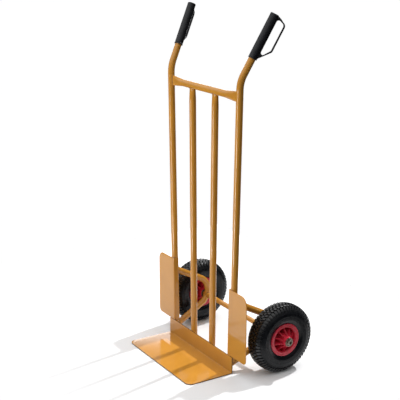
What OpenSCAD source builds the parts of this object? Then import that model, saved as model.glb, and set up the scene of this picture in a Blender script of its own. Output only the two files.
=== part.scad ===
// Two-wheeled hand truck: a welded steel tube frame with a toe plate, two
// knuckle-guard grips and two pneumatic wheels on one fixed axle.
// +Z is up, the toe plate points to -Y and the truck is symmetric in X.
// The origin is on the floor under the middle of the truck's own box.

/* [Frame] */
// Distance between the uprights' centre lines at the floor
foot_w = 403.4; // [390:0.2:420]
// Distance between the uprights' centre lines at the crossbar
top_w = 456; // [440:0.2:470]
// Distance between the load bars' centre lines at the floor
bar_foot_w = 128; // [120:1:140]
// Distance between the load bars' centre lines at the crossbar
bar_top_w = 152.4; // [140:0.2:160]
// Outer diameter of the frame tube
tube_d = 25; // [24:0.5:27]
// Wall thickness of the frame tube
tube_wall = 2; // [1.5:0.5:3]
// Height of the top crossbar's centre line
crossbar_z = 1020; // [950:1:1040]
// Height of the squashed ends of the crossbar
crossbar_blade_h = 38; // [30:1:38]
// Length over which the crossbar's end changes from round to flat
crossbar_squash_len = 72; // [40:1:90]

/* [Handles] */
// Height where the upright's and the handle's centre lines meet
knee_z = 1073; // [1066:1:1130]
// Lean of the handle behind the vertical, in degrees
handle_lean = 27.6; // [25:0.1:35]
// Turn of the handle outward from straight back, in degrees
handle_splay = 14.6; // [10:0.2:25]
// Radius of the handle's bend, on the centre line
handle_bend_r = 110; // [50:5:110]
// Distance from the knee to the lower end of the grip
grip_start = 87; // [60:1:95]
// Length of the grip
grip_len = 165; // [150:1:180]
// Outer diameter of the grip
grip_d = 31; // [29:0.5:34]
// Turn of the knuckle guard outward about the grip, in degrees
guard_twist = 22.4; // [0:0.2:30]
// Reach of the knuckle guard from the grip's centre line
guard_reach = 50; // [46:1:60]
// Width of the knuckle guard's strand, seen from the side
guard_strand = 6.5; // [4:0.5:7]
// Thickness of the knuckle guard across its plane
guard_thick = 6; // [5:0.5:8]

/* [Toe plate] */
// Width of the toe plate
toe_w = 445; // [430:1:450]
// Reach of the toe plate in front of the upright's centre line
toe_reach = 201.5; // [160:0.5:260]
// Sheet thickness of the toe plate
toe_t = 4; // [3:0.5:5]
// Height of the toe plate's upturned lip
lip_h = 65; // [50:1:80]
// Inside radius of the toe plate's fold
fold_r = 4; // [3:0.5:8]
// Radius of the toe plate's front corners
toe_corner_r = 24; // [10:1:40]

/* [Wheel guards] */
// Sheet thickness of a wheel guard
guard_sheet = 2.5; // [2:0.5:3]
// Distance from the truck's centre to a guard's outer edge
guard_out = 308; // [295:1:312]
// Height of a guard's top edge
guard_top = 322; // [300:1:340]
// Radius of a guard's outer corners
guard_corner_r = 32; // [15:1:40]
// Depth of a guard's folded side, behind the upright's centre line
guard_fold_depth = 7; // [4:1:20]

/* [Axle brackets] */
// Centre-line radius of the hoop's rear bend
hoop_r = 60; // [56:1:75]
// Distance of the hoop's bend centre behind the upright's centre line
hoop_back = 99.5; // [90:0.5:102]
// Height of the hoop's bend centre
hoop_z = 152.5; // [146:0.5:156]
// Slope of the hoop's upper leg, in degrees below the horizontal
hoop_upper_slope = 27.5; // [20:0.5:32]
// Slope of the hoop's lower leg, in degrees
hoop_lower_slope = 26.5; // [25:0.5:35]
// Turn of the hoop's plane outward about the upright, in degrees
hoop_splay = 4.8; // [0:0.1:5]
// Axle diameter
axle_d = 20; // [18:1:20]
// Half of the axle's length
axle_half = 347; // [346:1:352]

/* [Wheels] */
// Tyre diameter
tyre_d = 260; // [256:1:264]
// Tyre width
tyre_w = 83; // [80:1:85]
// Distance from the truck's centre to the middle of a tyre
wheel_x = 281; // [280.5:0.5:283]
// Radius of the rim's outer lip
rim_lip_r = 62; // [60:0.5:63]
// Radius of the rim where the tyre's bead sits
rim_seat_r = 50.8; // [50:0.1:51]
// Half of the rim's width
rim_half_w = 34.5; // [33:0.5:36]
// Number of ribs in each rim half
rib_count = 10; // [6:1:12]
// Length of the hub outward from the middle of the tyre
hub_out = 56; // [52:0.5:57]
// Length of the hub inward from the middle of the tyre
hub_in = 45.5; // [44:0.5:45.5]
// Number of bolts that join the rim halves
bolt_count = 5; // [3:1:5]

/* [Hidden] */
$fn = 72;
blend_fn = 32;        // facets of the blended tube ends
eps = 0.05;           // clearance of coped, welded joints
lap = 1;              // overlap of a tube's straight and bent stretches
bend_full = 0.3;      // the handle's bend is this much fuller than the straight
hoop_full = 0.12;     // the same for a hoop's bend
slide = 0.05;         // radial clearance of a running or sliding fit
side_gap = 0.3;       // gap between a turning hub and its washer

tube_r = tube_d / 2;
frame_lean = atan((top_w - foot_w) / 2 / crossbar_z);
bar_lean = atan((bar_top_w - bar_foot_w) / 2 / crossbar_z);
bar_foot_z = 6;
handle_tube_end = grip_start + grip_len - 5;    // distance from the knee
bend_setback = handle_bend_r * tan(handle_lean / 2);

axle_z = tyre_d / 2;
axle_angle = asin((axle_z - hoop_z) / hoop_r);
axle_back = (hoop_back + hoop_r * cos(axle_angle)) * cos(hoop_splay);
upright_y = (toe_reach - axle_back - tyre_d / 2) / 2;

// The hoop's lower leg: its tangent point on the bend, and where it meets the upright.
leg_back = hoop_back + hoop_r * sin(hoop_lower_slope);
leg_z = hoop_z - hoop_r * cos(hoop_lower_slope);
upright_foot_z = leg_z - leg_back * tan(hoop_lower_slope);

washer_t = 2.5;
washer_r = 16;
pin_r = 1.9;
hub_r = 22;
hub_bore_r = 15.5;
sleeve_wall = 1.4;
sleeve_r = hub_bore_r - sleeve_wall;
roller_r = 2;
roller_count = 8;
roller_pitch_r = axle_d / 2 + slide + roller_r;
cage_wall_in = 0.6;    // from the axle to the cage
cage_r = sleeve_r - 0.5;
rim_web_t = 4;
rim_wall = 4;
rib_t = 3;
bolt_pitch_r = 34;
bolt_d = 6;
bead_half_w = rim_half_w - rim_wall;
tube_ring_r = 86;      // centre radius of the inner tube
air_r = 33.5;          // section radius of the inner tube
inner_tube_wall = 2;
valve_angle = 54;
valve_d = 8;
valve_lean = 44;       // degrees from the radius towards the outer face
valve_len = 34;
valve_root_r = 55;
valve_root_z = 6;

frame_colour = "#cf9a48";
grip_colour = "#1c1c1e";
rim_colour = "#b5262c";
tyre_colour = "#222324";
steel_colour = "#a9a99c";
nylon_colour = "#e4e1d6";

// ---- placing -------------------------------------------------------------

// Everything is drawn with the uprights' centre lines at y = 0, and moved here.
module on_frame(x = 0) {
    translate([x, upright_y, 0]) children();
}

// Local z runs up an upright's centre line from the floor.
module on_upright(side) {
    on_frame(side * foot_w / 2) rotate([0, side * frame_lean, 0]) children();
}

// Local z runs up the handle from the knee; local y points back and down.
module on_handle(side) {
    on_upright(side) translate([0, 0, knee_z])
        rotate([0, 0, -side * handle_splay]) rotate([-handle_lean, 0, 0]) children();
}

// Local y and z are the hoop's plane, with the upright's centre line at y = 0.
module on_hoop(side) {
    on_upright(side) rotate([0, 0, -side * hoop_splay]) children();
}

// Local z is the axle's line, outward, from the middle of the tyre.
module on_wheel(side) {
    on_frame(side * wheel_x) translate([0, axle_back, axle_z])
        rotate([0, side * 90, 0]) children();
}

function arc(cx, cy, r, from, to, steps = 8) =
    [for (i = [0 : steps])
        let (a = from + (to - from) * i / steps) [cx + r * cos(a), cy + r * sin(a)]];

module ring(r_out, r_in, h) {
    difference() {
        cylinder(r = r_out, h = h);
        translate([0, 0, -1]) cylinder(r = r_in, h = h + 2);
    }
}

// ---- frame ---------------------------------------------------------------

// One upright's shape at a radius, from its foot to its end in the grip.
module upright_shape(side, r, over = 0) {
    bend_z = knee_z - bend_setback;
    on_upright(side) {
        translate([0, 0, upright_foot_z - over])
            cylinder(r = r, h = bend_z - upright_foot_z + over + lap);
        rotate([0, 0, -side * handle_splay]) translate([0, handle_bend_r, bend_z])
            rotate([90, 0, -90]) rotate_extrude(angle = handle_lean)
                translate([handle_bend_r, 0]) circle(r = r + bend_full);
    }
    on_handle(side) translate([0, 0, bend_setback - lap])
        cylinder(r = r, h = handle_tube_end - bend_setback + over + lap);
}

module upright(side) {
    color(frame_colour) difference() {
        upright_shape(side, tube_r);
        upright_shape(side, tube_r - tube_wall, 1);
        on_hoop(side) lower_leg(tube_r + eps);
    }
}

// The room that an upright takes above a height, for coping what is welded to it.
module upright_room(side, from = 0) {
    on_upright(side) translate([0, 0, from]) cylinder(r = tube_r + eps, h = knee_z - from);
}

module crossbar_end(side) {
    end_x = top_w / 2 - tube_r + 2;
    hull() {
        translate([side * (end_x - crossbar_squash_len), 0, 0]) rotate([0, side * -90, 0])
            cylinder(r = tube_r, h = 1, $fn = blend_fn);
        translate([side * (end_x - 4), 0, 0])
            cube([8, 2 * tube_wall + 2, crossbar_blade_h], center = true);
    }
}

module top_crossbar() {
    straight = top_w - tube_d + 4 - 2 * crossbar_squash_len;
    color(frame_colour) difference() {
        on_frame() translate([0, 0, crossbar_z]) {
            rotate([0, 90, 0]) cylinder(r = tube_r, h = straight, center = true);
            for (side = [-1, 1]) crossbar_end(side);
        }
        on_frame() translate([0, 0, crossbar_z]) rotate([0, 90, 0])
            cylinder(r = tube_r - tube_wall, h = straight, center = true);
        for (side = [-1, 1]) upright_room(side);
    }
}

module load_bar(side) {
    color(frame_colour) difference() {
        on_frame(side * bar_foot_w / 2) rotate([0, side * bar_lean, 0])
            translate([0, 0, bar_foot_z])
                ring(tube_r, tube_r - tube_wall, crossbar_z - bar_foot_z);
        on_frame() translate([0, 0, crossbar_z]) rotate([0, 90, 0])
            cylinder(r = tube_r + eps, h = top_w, center = true);
    }
}

// Toe plate: one sheet, folded up at the back into a lip in front of the tubes.
module toe_plate() {
    lip_back = -tube_r;
    lip_front = lip_back - toe_t;
    fold_y = lip_front - fold_r;
    plan = concat(
        [[toe_w / 2, fold_y], [-toe_w / 2, fold_y]],
        arc(-toe_w / 2 + toe_corner_r, -toe_reach + toe_corner_r, toe_corner_r, 180, 270),
        arc(toe_w / 2 - toe_corner_r, -toe_reach + toe_corner_r, toe_corner_r, 270, 360));
    fold = concat(
        [[fold_y - 2, 0]],
        arc(fold_y, fold_r + toe_t, fold_r + toe_t, -90, 0),
        [[lip_back, lip_h], [lip_front, lip_h]],
        arc(fold_y, fold_r + toe_t, fold_r, 0, -90),
        [[fold_y - 2, toe_t]]);
    color(frame_colour) on_frame() {
        linear_extrude(height = toe_t) polygon(plan);
        translate([-toe_w / 2, 0, 0]) rotate([90, 0, 90])
            linear_extrude(height = toe_w) polygon(fold);
    }
}

// Wheel guard: a sheet in front of the wheel, folded back along the upright.
module wheel_guard(side) {
    low = lip_h + 1;
    r = guard_corner_r;
    at_floor = foot_w / 2 - tube_r - eps - guard_sheet;
    top_inner = at_floor + guard_top * tan(frame_lean);
    low_inner = at_floor + low * tan(frame_lean);
    face = concat(
        [[top_inner, guard_top], [low_inner, low]],
        arc(guard_out - r / 2, low + r / 2, r / 2, -90, 0),
        arc(guard_out - r, guard_top - r, r, 0, 90));
    color(frame_colour) on_frame() mirror([side < 0 ? 1 : 0, 0, 0]) {
        translate([0, -tube_r, 0]) rotate([90, 0, 0])
            linear_extrude(height = guard_sheet) polygon(face);
        translate([0, guard_fold_depth, 0]) rotate([90, 0, 0])
            linear_extrude(height = tube_r + guard_sheet + guard_fold_depth)
                polygon([[top_inner, guard_top], [low_inner, low],
                    [low_inner + guard_sheet, low], [top_inner + guard_sheet, guard_top]]);
    }
}

// ---- axle brackets and axle ----------------------------------------------

// The hoop's lower leg at a radius, from the bend to beyond the back of the toe plate's lip.
module lower_leg(r) {
    reach = (leg_back + 2 * tube_d) / cos(hoop_lower_slope);
    translate([0, leg_back, leg_z]) rotate([90 + hoop_lower_slope, 0, 0])
        translate([0, 0, -lap]) cylinder(r = r, h = reach + lap);
}

// The hoop's bent bar at a radius.
module hoop_shape(r) {
    upper = 90 - hoop_upper_slope;
    lower = hoop_lower_slope - 90;
    upper_len = (hoop_back + hoop_r * cos(upper)) / cos(hoop_upper_slope);
    translate([0, hoop_back, hoop_z]) rotate([90, 0, 90]) {
        rotate([0, 0, lower]) rotate_extrude(angle = upper - lower)
            translate([hoop_r, 0]) circle(r = r + hoop_full);
        rotate([0, 0, upper]) translate([hoop_r, -lap, 0]) rotate([-90, 0, 0])
            cylinder(r = r, h = upper_len + lap);
    }
    lower_leg(r);
}

module axle_hoop(side) {
    front_room = 100;
    color(frame_colour) difference() {
        on_hoop(side) hoop_shape(tube_r);
        on_hoop(side) hoop_shape(tube_r - tube_wall);
        upright_room(side, hoop_z);
        on_frame(side * foot_w / 2) translate([0, -tube_r + eps - front_room / 2, 0])
            cube([front_room, front_room, 2 * front_room], center = true);
        on_frame(side * foot_w / 2) translate([0, axle_back, axle_z]) rotate([0, 90, 0])
            cylinder(r = axle_d / 2 + slide / 2, h = 4 * tube_d, center = true);
    }
}

function pin_local_z() = hub_out + side_gap + washer_t + pin_r + 0.5;

module axle() {
    color(frame_colour) difference() {
        on_frame() translate([0, axle_back, axle_z]) rotate([0, 90, 0])
            cylinder(d = axle_d, h = 2 * axle_half, center = true);
        for (side = [-1, 1]) on_wheel(side) translate([0, 0, pin_local_z()])
            rotate([0, 90, 0]) cylinder(r = pin_r + slide, h = 2 * axle_d, center = true);
    }
}

module inner_washer(side) {
    color(steel_colour) on_wheel(side)
        translate([0, 0, -hub_in - side_gap - washer_t + 0.1])
            ring(washer_r, axle_d / 2 + slide, washer_t - 0.1);
}

module outer_washer(side) {
    color(steel_colour) on_wheel(side)
        translate([0, 0, hub_out + side_gap]) ring(washer_r, axle_d / 2 + slide, washer_t);
}

// Split pin: a round eye above the axle, level with the washer, and a straight shank.
module split_pin(side) {
    eye_r = 4;
    eye_x = -axle_d / 2 - eye_r - 1.5;
    color(steel_colour) on_wheel(side) translate([0, 0, pin_local_z()]) {
        translate([eye_x + eye_r, 0, 0]) rotate([0, 90, 0])
            cylinder(r = pin_r, h = axle_d + 10);
        translate([eye_x, 0, 0]) rotate_extrude()
            translate([eye_r, 0]) circle(r = pin_r * 0.6, $fn = 24);
    }
}

// ---- grips ---------------------------------------------------------------

// Side outline of the knuckle guard: [distance from the grip's axis, height].
function guard_outline() = concat(
    [[0, 2], [grip_d / 2, 4], [grip_d / 2 + 2, 9]],
    arc(guard_reach - 12, 52, 12, -42, 0, 5),
    arc(guard_reach - 16, grip_len - 28, 16, 0, 55, 6),
    arc(0, grip_len - 62, 62, 54, 90, 8));

function guard_window() = concat(
    arc(grip_d / 2 + 8, 33, 7, 180, 300, 6),
    arc(guard_reach - guard_strand - 9, 53, 9, -42, 0, 4),
    arc(guard_reach - guard_strand - 13, grip_len - 28, 13, 0, 50, 5),
    arc(grip_d / 2 + 9, grip_len - 21, 8, 60, 180, 6));

module grip(side) {
    color(grip_colour) on_handle(side) translate([0, 0, grip_start])
        rotate([0, 0, -side * guard_twist]) difference() {
            union() {
                cylinder(d = grip_d, h = grip_len);
                cylinder(d = grip_d + 1.5, h = 4);
                translate([guard_thick / 2, 0, 0]) rotate([90, 0, -90])
                    mirror([1, 0, 0]) linear_extrude(height = guard_thick)
                        difference() {
                            polygon(guard_outline());
                            polygon(guard_window());
                        }
            }
            translate([0, 0, -1]) cylinder(r = tube_r + slide, h = grip_len - 3);
        }
}

// ---- wheels --------------------------------------------------------------

// Tyre casing: open at the beads, where it grips the rim.
module tyre(side) {
    r = tyre_d / 2;
    half = tyre_w / 2;
    crown_half = half - 6;
    color(tyre_colour) on_wheel(side) rotate_extrude() difference() {
        intersection() {
            union() {
                translate([r - half - 1, 0]) circle(r = half);
                polygon([[r - 34, -crown_half], [r - 9, -crown_half], [r, -crown_half + 10],
                         [r, crown_half - 10], [r - 9, crown_half], [r - 34, crown_half]]);
            }
            translate([rim_seat_r + slide, -half]) square([r, tyre_w]);
        }
        translate([tube_ring_r, 0]) circle(r = air_r + slide);
        translate([rim_seat_r - 2, -18]) square([14, 36]);
        for (s = [-1, 1]) translate([rim_seat_r - 2, s < 0 ? -half : bead_half_w - 0.1])
            square([rim_lip_r - rim_seat_r + 2.3, half - bead_half_w + 0.1]);
    }
}

// Valve stem's place: local z runs from the inner tube towards the outer face.
module on_valve() {
    rotate([0, 0, valve_angle]) translate([valve_root_r, 0, valve_root_z])
        rotate([0, valve_lean - 90, 0]) children();
}

module inner_tube(side) {
    color(tyre_colour) on_wheel(side) {
        rotate_extrude() translate([tube_ring_r, 0]) difference() {
            circle(r = air_r);
            circle(r = air_r - inner_tube_wall);
        }
        on_valve() cylinder(d = valve_d, h = valve_len);
    }
}

module valve_cap(side) {
    color(grip_colour) on_wheel(side) on_valve() translate([0, 0, valve_len + 0.1])
        cylinder(d = valve_d, h = 4);
}

// Rim half on the +z side of the joint, with a hub of the given length.
module rim_half(hub_len) {
    barrel_in = rim_seat_r - rim_wall;
    difference() {
        union() {
            rotate_extrude() polygon([
                [hub_bore_r, 0], [rim_seat_r, 0], [rim_seat_r, bead_half_w],
                [rim_lip_r, bead_half_w], [rim_lip_r, rim_half_w],
                [barrel_in, rim_half_w], [barrel_in, rim_web_t],
                [hub_r, rim_web_t], [hub_r, hub_len], [hub_bore_r, hub_len]]);
            for (i = [0 : rib_count - 1]) rotate([90, 0, i * 360 / rib_count])
                translate([0, 0, -rib_t / 2]) linear_extrude(height = rib_t)
                    polygon([[hub_r - 1, rim_web_t - 1], [barrel_in + 1, rim_web_t - 1],
                             [barrel_in + 1, rim_half_w - 7], [hub_r - 1, hub_len - 8]]);
        }
        for (i = [0 : bolt_count - 1])
            rotate([0, 0, (i + 0.25) * 360 / bolt_count])
                translate([bolt_pitch_r, 0, -1]) cylinder(d = bolt_d + 0.4, h = rim_web_t + 2);
    }
}

module rim_outer_half(side) {
    color(rim_colour) on_wheel(side) difference() {
        rim_half(hub_out);
        on_valve() cylinder(d = valve_d + 1, h = valve_len);
    }
}

module rim_inner_half(side) {
    color(rim_colour) on_wheel(side) mirror([0, 0, 1]) rim_half(hub_in);
}

// Bolts with hexagon heads outside and nuts inside, through both rim webs.
module rim_bolts(side) {
    color(steel_colour) on_wheel(side) for (i = [0 : bolt_count - 1])
        rotate([0, 0, (i + 0.25) * 360 / bolt_count]) translate([bolt_pitch_r, 0, 0]) {
            translate([0, 0, -rim_web_t - 6]) cylinder(d = bolt_d, h = 2 * rim_web_t + 8);
            translate([0, 0, rim_web_t]) cylinder(d = 11.5, h = 4, $fn = 6);
            translate([0, 0, -rim_web_t - 5]) cylinder(d = 11.5, h = 5, $fn = 6);
        }
}

module hub_sleeve(side) {
    color(steel_colour) on_wheel(side) translate([0, 0, -hub_in])
        ring(hub_bore_r - slide / 2, sleeve_r, hub_in + hub_out);
}

module on_rollers(side) {
    on_wheel(side) for (i = [0 : roller_count - 1]) rotate([0, 0, i * 360 / roller_count])
        translate([roller_pitch_r, 0, 0]) children();
}

module roller_cage(side) {
    cage_len = hub_in + hub_out - 2;
    color(nylon_colour) difference() {
        on_wheel(side) translate([0, 0, -hub_in + 1])
            ring(cage_r, axle_d / 2 + cage_wall_in, cage_len);
        on_rollers(side) translate([0, 0, -hub_in + 6])
            cylinder(r = roller_r + 0.15, h = cage_len - 10);
    }
}

module rollers(side) {
    color(steel_colour) on_rollers(side) translate([0, 0, -hub_in + 6.2])
        cylinder(r = roller_r, h = hub_in + hub_out - 12.4, $fn = 32);
}

// ---- the whole truck -----------------------------------------------------

top_crossbar();
toe_plate();
axle();

for (side = [-1, 1]) {
    prefix = side < 0 ? "left_" : "right_";
    upright(side);
    load_bar(side);
    wheel_guard(side);
    axle_hoop(side);
    grip(side);
    inner_washer(side);
    outer_washer(side);
    split_pin(side);
    tyre(side);
    inner_tube(side);
    valve_cap(side);
    rim_outer_half(side);
    rim_inner_half(side);
    rim_bolts(side);
    hub_sleeve(side);
    roller_cage(side);
    rollers(side);
}
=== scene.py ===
"""Looks of a two-wheeled hand truck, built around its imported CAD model.

Lengths are in metres. +Z is up and the toe plate points to -Y, as in the CAD frame.
"""

import random
from math import atan, copysign, cos, exp, hypot, pi, radians, sin, sqrt, tan

import bmesh
import bpy
import numpy as np
from mathutils import Matrix, Quaternion, Vector


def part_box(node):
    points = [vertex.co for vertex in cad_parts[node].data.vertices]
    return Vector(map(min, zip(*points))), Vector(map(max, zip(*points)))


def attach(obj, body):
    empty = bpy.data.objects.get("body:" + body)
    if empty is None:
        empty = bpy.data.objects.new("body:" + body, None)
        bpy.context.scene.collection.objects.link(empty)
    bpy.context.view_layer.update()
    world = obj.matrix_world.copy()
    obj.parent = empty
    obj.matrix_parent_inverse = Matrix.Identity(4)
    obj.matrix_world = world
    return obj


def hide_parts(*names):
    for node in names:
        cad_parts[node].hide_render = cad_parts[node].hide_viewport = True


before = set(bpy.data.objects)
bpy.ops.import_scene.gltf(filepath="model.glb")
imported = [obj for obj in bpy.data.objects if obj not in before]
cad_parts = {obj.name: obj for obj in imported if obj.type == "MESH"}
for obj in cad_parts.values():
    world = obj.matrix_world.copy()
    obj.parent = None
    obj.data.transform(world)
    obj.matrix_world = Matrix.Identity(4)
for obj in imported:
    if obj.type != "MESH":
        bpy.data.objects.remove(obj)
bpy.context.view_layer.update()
random.seed(11)  # for the ripple of the weld beads

MM = 0.001
SIDES = {"left": -1, "right": 1}

# ---- sizes, as in the CAD model unless a comment says otherwise

TUBE_R = 12.5 * MM
TUBE_WALL = 2 * MM
FOOT_X = 201.7 * MM  # from the middle to an upright at the floor,
TOP_X = 228 * MM  # and at the crossbar
BAR_FOOT_X = 64 * MM  # the same two for a load bar
BAR_TOP_X = 76.2 * MM
CROSSBAR_Z = 1020 * MM
FRAME_LEAN = atan((TOP_X - FOOT_X) / CROSSBAR_Z)
BAR_LEAN = atan((BAR_TOP_X - BAR_FOOT_X) / CROSSBAR_Z)
BLADE_HALF_H = 19 * MM  # the crossbar's squashed end, half its height
BLADE_HALF_T = 3 * MM  # and half its thickness
SQUASH_LEN = 72 * MM
BAR_SQUASH = 42 * MM  # length over which a load bar's top widens
BAR_TOP_HALF_W = 14.3 * MM
BAR_TOP_HALF_D = 9.6 * MM
KNEE_Z = 1073 * MM  # where an upright bends into its handle
HANDLE_LEAN = radians(27.6)
HANDLE_SPLAY = radians(14.6)
HANDLE_BEND_R = 110 * MM
GRIP_START = 87 * MM
GRIP_LEN = 165 * MM
GRIP_R = 15.5 * MM
GUARD_TWIST = radians(22.4)
GUARD_REACH = 50  # knuckle guard from the grip's axis, in mm
GUARD_STRAND = 6.5  # and its width there, in mm
GUARD_THICK = 6 * MM
TOE_W = 445 * MM
TOE_REACH = 201.5 * MM
TOE_T = 4 * MM
LIP_H = 65 * MM
FOLD_R = 1.5 * MM  # tighter than the 4 mm in the CAD model
TOE_CORNER_R = 24 * MM
GUARD_SHEET = 2.5 * MM  # a wheel guard's thickness
GUARD_OUT = 308 * MM
GUARD_TOP = 322 * MM
GUARD_LOW = 66 * MM
GUARD_CORNER_R = 32 * MM
GUARD_FOLD_DEPTH = 7 * MM
HOOP_R = 60 * MM
HOOP_BACK = 99.5 * MM  # middle of a hoop's bend, behind its upright
HOOP_Z = 152.5 * MM
HOOP_UPPER_SLOPE = radians(27.5)
HOOP_LOWER_SLOPE = radians(26.5)
HOOP_SPLAY = radians(4.8)
AXLE_R = 10 * MM
AXLE_HALF = 347 * MM
HUB_OUT = 56 * MM  # from the middle of the tyre to the hub's outer end,
HUB_IN = 45.5 * MM  # and to its inner end
HUB_GAP = 0.3 * MM  # between hub and washer
WASHER_R = 16 * MM
WASHER_T = 2.5 * MM
BAR_FOOT_Z = 6 * MM  # lower end of a load bar, behind the lip


def box_middle(node):
    """The middle of a CAD node's box."""
    return [(low + high) / 2 for low, high in zip(*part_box(node))]


FRAME_Y = box_middle("right_load_bar")[1]
WHEEL_X, AXLE_Y, AXLE_Z = box_middle("right_tyre")


# ---- node helpers for materials

def add_node(tree, kind, settings=None, inputs=None):
    """A node with its settings; an input is a value or the socket that feeds it."""
    node = tree.nodes.new(kind)
    for key, value in (settings or {}).items():
        setattr(node, key, value)
    for key, value in (inputs or {}).items():
        if isinstance(value, bpy.types.NodeSocket):
            tree.links.new(value, node.inputs[key])
        else:
            node.inputs[key].default_value = value
    return node


class Nodes:
    """A material's node tree, with short calls for the nodes used here."""

    def __init__(self, name, **sockets):
        self.material = bpy.data.materials.new(name)
        self.material.use_nodes = True
        self.tree = self.material.node_tree
        self.shader = self.tree.nodes["Principled BSDF"]
        for key, value in sockets.items():
            self.shader.inputs[key.replace("_", " ")].default_value = value
        self.place = self.tree.nodes.new("ShaderNodeTexCoord").outputs["Object"]

    def link(self, source, target):
        self.tree.links.new(source, target)

    def add(self, kind, settings=None, inputs=None):
        return add_node(self.tree, kind, settings, inputs)

    def noise(self, scale, detail, roughness=0.5, vector=None):
        return self.add("ShaderNodeTexNoise", inputs={
            "Vector": vector or self.place, "Scale": scale,
            "Detail": detail, "Roughness": roughness}).outputs["Fac"]

    def tones(self, factor, dark, light, start=0.3, end=0.7):
        """A colour that goes from dark to light over the middle of a noise."""
        node = self.add("ShaderNodeValToRGB", inputs={"Fac": factor})
        stops = ((start, dark), (end, light))
        for element, (position, colour) in zip(node.color_ramp.elements, stops):
            element.position = position
            element.color = (*colour, 1)
        return node.outputs["Color"]

    def levels(self, factor, to_low, to_high, start=0.3, end=0.7):
        """A number that goes from to_low to to_high over the middle of a noise."""
        return self.add("ShaderNodeMapRange", inputs={
            "Value": factor, "From Min": start, "From Max": end,
            "To Min": to_low, "To Max": to_high}).outputs["Result"]

    def mix(self, factor, a, colour):
        """A mix of a, a colour or the socket of one, with a colour."""
        first = (*a, 1) if isinstance(a, tuple) else a
        node = self.add("ShaderNodeMix", {"data_type": "RGBA"},
                        {0: factor, 6: first, 7: (*colour, 1)})
        return node.outputs[2]

    def bump(self, height, distance, strength, normal=None):
        node = self.add("ShaderNodeBump", inputs={
            "Height": height, "Distance": distance, "Strength": strength})
        if normal is not None:
            self.link(normal, node.inputs["Normal"])
        return node.outputs["Normal"]

    def finish(self, colour, roughness, normal):
        for key, value in (("Base Color", colour), ("Roughness", roughness), ("Normal", normal)):
            self.link(value, self.shader.inputs[key])
        return self.material


def powder_coat(name, shade):
    """Glossy ochre powder coat: faint orange peel, slow drift in tone, fine dust specks."""
    dark = tuple(shade * c for c in (0.470, 0.209, 0.028))
    light = tuple(shade * c for c in (0.548, 0.250, 0.036))
    n = Nodes(name, Coat_Weight=1.0, Coat_Roughness=0.08, Coat_IOR=1.5, Specular_IOR_Level=0.0)
    speck = n.levels(n.noise(900, 2), 0.0, 0.35, 0.72, 0.8)
    colour = n.mix(speck, n.tones(n.noise(7, 4), dark, light),
                   (0.8 * dark[0], 0.8 * dark[1], 0.02))
    peel = n.bump(n.noise(420, 2, 0.4), 0.00006, 0.5)
    return n.finish(colour, n.levels(n.noise(60, 3), 0.34, 0.46), peel)


def weld_coat():
    """The same coat over a weld bead, a little darker where soot lies under it."""
    n = Nodes("coated_weld", Coat_Weight=0.5, Coat_Roughness=0.2, Specular_IOR_Level=0.3)
    colour = n.tones(n.noise(260, 4), (0.13, 0.052, 0.010), (0.46, 0.20, 0.032), 0.32, 0.62)
    return n.finish(colour, n.levels(n.noise(300, 2), 0.35, 0.6),
                    n.bump(n.noise(700, 3), 0.0002, 0.7))


def grip_plastic():
    """Black moulded plastic with a fine leather-like grain."""
    n = Nodes("black_grip_plastic", Specular_IOR_Level=0.45)
    colour = n.tones(n.noise(40, 3), (0.0036, 0.0040, 0.0056), (0.0068, 0.0076, 0.0106))
    cells = n.add("ShaderNodeTexVoronoi", {"feature": "DISTANCE_TO_EDGE"},
                  {"Vector": n.place, "Scale": 620}).outputs["Distance"]
    grain = n.bump(n.levels(cells, 0.0, 1.0, 0.0, 0.12), 0.00012, 0.6)
    return n.finish(colour, n.levels(n.noise(180, 2), 0.38, 0.52), grain)


def tyre_rubber(name, gloss):
    """Black rubber with a thin bloom of dust. gloss is its specular level."""
    n = Nodes(name, Specular_IOR_Level=gloss)
    dust = n.levels(n.noise(22, 5, 0.6), 0.0, 0.55, 0.42, 0.72)
    colour = n.mix(dust, (0.0038, 0.0044, 0.0058), (0.0080, 0.0090, 0.0115))
    fine = n.bump(n.noise(1200, 2), 0.00005, 0.5)
    return n.finish(colour, n.levels(n.noise(90, 4), 0.24, 0.38),
                    n.bump(n.noise(240, 3), 0.00012, 0.5, fine))


def tube_rubber():
    """Dull black rubber, as an inner tube has."""
    n = Nodes("inner_tube_rubber", Specular_IOR_Level=0.4)
    colour = n.tones(n.noise(60, 3), (0.010, 0.010, 0.011), (0.020, 0.020, 0.021))
    return n.finish(colour, n.levels(n.noise(200, 3), 0.5, 0.7),
                    n.bump(n.noise(900, 2), 0.00006, 0.5))


def rim_plastic():
    """Red injection-moulded plastic, glossy, with faint flow marks."""
    n = Nodes("red_rim_plastic", Coat_Weight=0.2, Coat_Roughness=0.12, Specular_IOR_Level=0.35)
    colour = n.tones(n.noise(35, 4, 0.55), (0.50, 0.016, 0.034), (0.62, 0.026, 0.054))
    return n.finish(colour, n.levels(n.noise(140, 3), 0.24, 0.36),
                    n.bump(n.noise(500, 2), 0.00004, 0.4))


def plated_steel(name, tone, rough):
    """Zinc-plated or ground steel: metallic, with fine scratches and patchy lustre."""
    n = Nodes(name, Metallic=1.0)
    patch = n.tones(n.noise(170, 4), tuple(0.72 * c for c in tone), tone)
    drawn_out = n.add("ShaderNodeMapping", inputs={
        "Vector": n.place, "Scale": (40, 1500, 900)}).outputs["Vector"]
    return n.finish(patch, n.levels(n.noise(260, 3), rough, rough + 0.16),
                    n.bump(n.noise(1.0, 2.0, vector=drawn_out), 0.00003, 0.6))


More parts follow.
